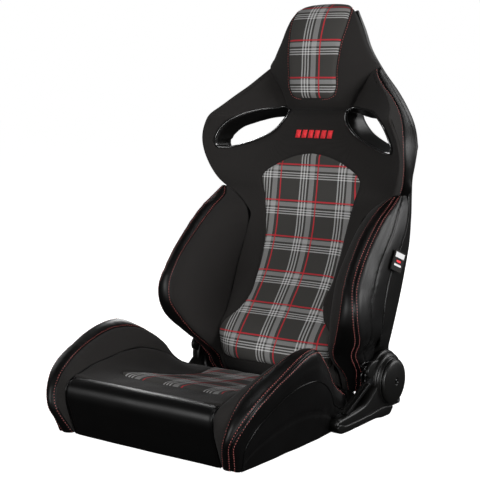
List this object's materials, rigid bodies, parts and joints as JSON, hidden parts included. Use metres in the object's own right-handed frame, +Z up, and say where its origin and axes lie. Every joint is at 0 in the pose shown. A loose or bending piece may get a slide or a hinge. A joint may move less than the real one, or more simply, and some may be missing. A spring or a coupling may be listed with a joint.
{
  "type": "reclining sport car seat",
  "caption": "Reclining sport bucket seat with deep side bolsters, a fixed head section with harness slots, plaid centre inserts and a side lever that frees the recliners.",
  "frame": {"origin": "on the floor plane under the rails, in the middle of the seat's footprint (within 6 mm front to back)", "axes": "+X to the side with the release lever, -Y the way the seat faces, +Z up"},
  "size_m": [0.578, 0.7828, 0.957],
  "materials": {
    "woven_fabric": "charcoal woven cloth",
    "plaid_fabric": "woven tartan: charcoal ground, grey bands, red lines",
    "black_leather": "semi-gloss grained black leather with red stitching",
    "moulded_plastic": "fine textured black",
    "gloss_plastic": "polished black",
    "black_steel": "satin black paint",
    "spring_steel": "drawn wire",
    "zinc_bolt": "zinc plated"
  },
  "bodies": {
    "seat_base": {"base_cross_tube_front": "black_steel", "base_cross_tube_rear": "black_steel", "base_rail_left": "black_steel", "base_rail_right": "black_steel", "base_rear_panel": "black_steel", "cover_screw_left": "zinc_bolt", "cover_screw_right": "zinc_bolt", "recliner_base_plate_left": "black_steel", "recliner_base_plate_right": "black_steel", "recliner_bolt_left_1": "zinc_bolt", "recliner_bolt_left_2": "zinc_bolt", "recliner_bolt_right_1": "zinc_bolt", "recliner_bolt_right_2": "zinc_bolt", "recliner_cap_left": "moulded_plastic", "recliner_cap_right": "moulded_plastic", "recliner_cover_left": "moulded_plastic", "recliner_cover_right": "moulded_plastic", "recliner_guide_left": "black_steel", "recliner_guide_right": "black_steel", "recliner_spring_left": "spring_steel", "recliner_spring_right": "spring_steel", "seat_cushion": "woven_fabric", "seat_front_roll": "black_leather", "seat_insert": "plaid_fabric", "seat_spring_1": "spring_steel", "seat_spring_2": "spring_steel", "seat_spring_3": "spring_steel", "thigh_bolster_left": "black_leather", "thigh_bolster_right": "black_leather"},
    "backrest": {"back_arm_plate_left": "black_steel", "back_arm_plate_right": "black_steel", "back_bolster_left": "black_leather", "back_bolster_right": "black_leather", "back_cushion": "woven_fabric", "back_frame_hoop": "black_steel", "back_insert": "plaid_fabric", "back_lower_bar": "black_steel", "back_shell": "moulded_plastic", "back_skirt": "woven_fabric", "back_spring_1": "spring_steel", "back_spring_2": "spring_steel", "harness_bezel_left": "gloss_plastic", "harness_bezel_right": "gloss_plastic", "head_cushion": "woven_fabric", "head_insert": "plaid_fabric", "recliner_ring_left": "black_steel", "recliner_ring_right": "black_steel", "side_tag": "woven_fabric"},
    "release_lever": {"release_lever_arm": "black_steel", "release_lever_grip": "moulded_plastic", "release_shaft": "black_steel", "release_cam_right": "black_steel", "release_cam_left": "black_steel"},
    "pawl_right_top": {"pawl_right_top": "black_steel"},
    "pawl_right_bottom": {"pawl_right_bottom": "black_steel"},
    "pawl_left_top": {"pawl_left_top": "black_steel"},
    "pawl_left_bottom": {"pawl_left_bottom": "black_steel"}
  },
  "joints": [
    {"name": "recline", "type": "hinge", "parent": "seat_base", "child": "backrest", "pos_m": [0, 0.234, 0.07], "axis": [1, 0, 0], "range_deg": [-60, 4]},
    {"name": "lever_lift", "type": "hinge", "parent": "seat_base", "child": "release_lever", "pos_m": [0, 0.234, 0.07], "axis": [-1, 0, 0], "range_deg": [0, 26], "stiffness_Nm_per_rad": 1.5, "springref_deg": -20.05},
    {"name": "pawl_right_top_slide", "type": "slide", "parent": "seat_base", "child": "pawl_right_top", "axis": [0, 0, -1], "range_m": [0, 0.003]},
    {"name": "pawl_right_bottom_slide", "type": "slide", "parent": "seat_base", "child": "pawl_right_bottom", "axis": [0, 0, 1], "range_m": [0, 0.003]},
    {"name": "pawl_left_top_slide", "type": "slide", "parent": "seat_base", "child": "pawl_left_top", "axis": [0, 0, -1], "range_m": [0, 0.003]},
    {"name": "pawl_left_bottom_slide", "type": "slide", "parent": "seat_base", "child": "pawl_left_bottom", "axis": [0, 0, 1], "range_m": [0, 0.003]}
  ],
  "couplings": [
    {"joint": "pawl_right_top_slide", "follows": "lever_lift", "m_per_rad": 0.00661},
    {"joint": "pawl_right_bottom_slide", "follows": "lever_lift", "m_per_rad": 0.00661},
    {"joint": "pawl_left_top_slide", "follows": "lever_lift", "m_per_rad": 0.00661},
    {"joint": "pawl_left_bottom_slide", "follows": "lever_lift", "m_per_rad": 0.00661}
  ]
}
